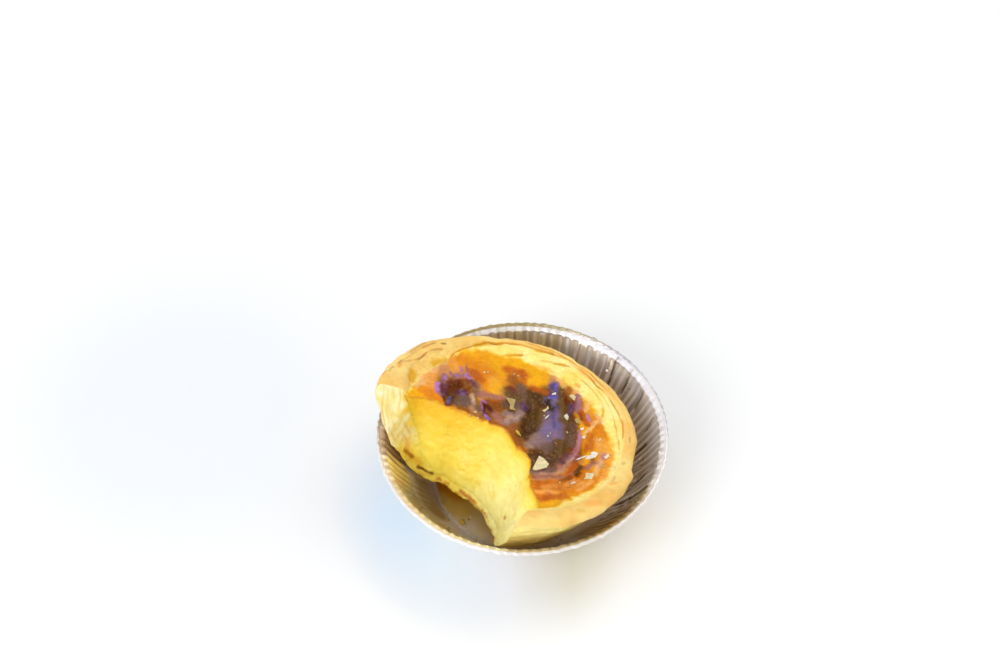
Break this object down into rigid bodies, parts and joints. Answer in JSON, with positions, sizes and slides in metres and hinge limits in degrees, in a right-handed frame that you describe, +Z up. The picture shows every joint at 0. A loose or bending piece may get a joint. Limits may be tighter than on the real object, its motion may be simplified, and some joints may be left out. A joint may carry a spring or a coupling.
{
  "type": "egg custard tart",
  "caption": "Small round egg custard tart in flaky pastry with a browned top and one bite taken out, leaning in its pleated foil tin.",
  "frame": {"origin": "centre of the underside of the tin's flat base", "axes": "+Z up; the bite faces -X and -Y; the tart is raised at -X and -Y and low at +X and +Y"},
  "size_m": [0.0724, 0.0724, 0.0319],
  "materials": {
    "foil": "thin crinkled aluminium foil, satin to glossy",
    "pastry": "baked flaky pastry, golden brown with pale inner leaves",
    "custard": "soft egg custard, bright yellow where cut, with a glossy dark browned skin"
  },
  "bodies": {
    "root": {"foil_tin": "foil", "pastry_shell": "pastry", "custard": "custard"}
  },
  "joints": []
}
